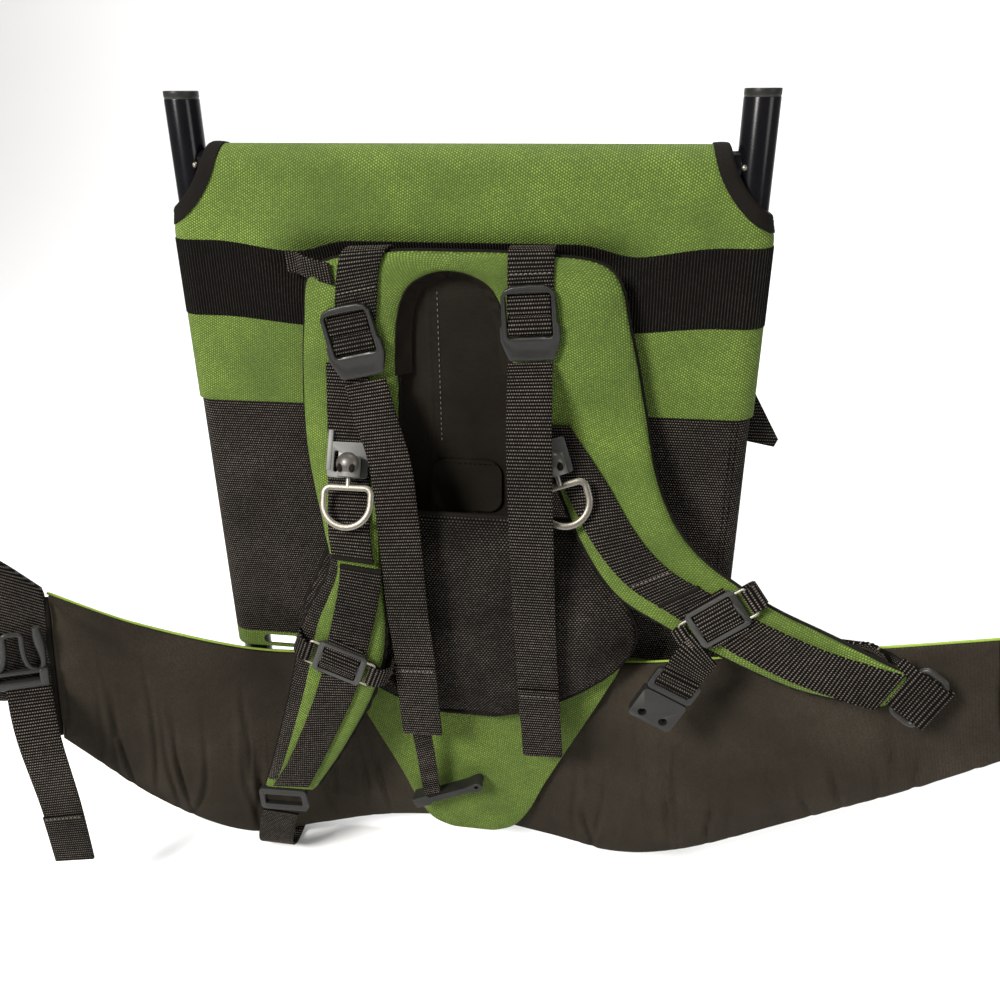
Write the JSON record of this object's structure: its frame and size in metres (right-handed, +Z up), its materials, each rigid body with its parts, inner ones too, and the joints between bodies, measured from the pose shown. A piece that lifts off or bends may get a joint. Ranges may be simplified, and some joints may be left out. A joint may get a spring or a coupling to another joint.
{
  "type": "frame backpack harness",
  "caption": "Carrying frame in a green cloth sleeve with a padded shoulder yoke, webbing, swivel rings, lumbar pad and an open hip belt.",
  "frame": {"origin": "middle of the lumbar pad's face, where the harness bears on the wearer's back", "axes": "+Z up, +Y from the wearer towards the load, X across the frame, to the right as the wearer's side is seen"},
  "size_m": [0.6084, 0.1465, 0.5045],
  "materials": {
    "tube": "gloss black paint",
    "plastic": "moulded, satin",
    "green": "coated weave",
    "mesh": "ribbed mesh",
    "webbing": "ribbed webbing",
    "lining": "soft lining cloth",
    "metal": "worn gunmetal"
  },
  "bodies": {
    "harness": {"tube_left": "tube", "tube_right": "tube", "crossbar_top": "tube", "crossbar_bottom": "tube", "cap_left": "plastic", "cap_right": "plastic", "foot_cap_left": "plastic", "foot_cap_right": "plastic", "ladder_lock_left": "plastic", "ladder_lock_right": "plastic", "sternum_slider_left": "plastic", "sternum_slider_right": "plastic", "end_ring_left": "plastic", "end_ring_right": "plastic", "sternum_triglide": "plastic", "sternum_receiver": "plastic", "sternum_clip": "plastic", "belt_prong_left": "plastic", "belt_socket_right": "plastic", "sleeve_green": "green", "sleeve_hem": "green", "harness_pad": "green", "lumbar_flap": "green", "belt_shell_left": "green", "belt_shell_right": "green", "sleeve_mesh": "mesh", "lumbar_pad": "mesh", "binding_left": "webbing", "binding_right": "webbing", "panel_band": "webbing", "side_tab": "webbing", "lash_webbing_left": "webbing", "lash_webbing_right": "webbing", "strap_webbing_left": "webbing", "strap_webbing_right": "webbing", "lifter_loop_left": "webbing", "lifter_loop_right": "webbing", "tail_left": "webbing", "tail_right": "webbing", "lower_webbing_left": "webbing", "lower_webbing_right": "webbing", "sternum_webbing_left": "webbing", "sternum_webbing_right": "webbing", "belt_tail_left": "webbing", "belt_end_left": "webbing", "belt_end_right": "webbing", "spine_sheet": "lining", "spine_flap": "lining", "spine_tab": "lining", "belt_pad_left": "lining", "belt_pad_right": "lining", "swivel_left": "metal", "swivel_right": "metal"},
    "ring_left": {"d_ring_left": "metal"},
    "ring_right": {"d_ring_right": "metal"}
  },
  "joints": [
    {"name": "ring_left_swivel", "type": "hinge", "parent": "harness", "child": "ring_left", "pos_m": [-0.06011, -0.00136, 0.10625], "axis": [0.0007, 0.4763, 0.8793], "range_deg": [-24, 24]},
    {"name": "ring_right_swivel", "type": "hinge", "parent": "harness", "child": "ring_right", "pos_m": [0.05822, 0.00162, 0.11194], "axis": [-0.3198, 0.3426, 0.8834], "range_deg": [-60, 20]}
  ]
}
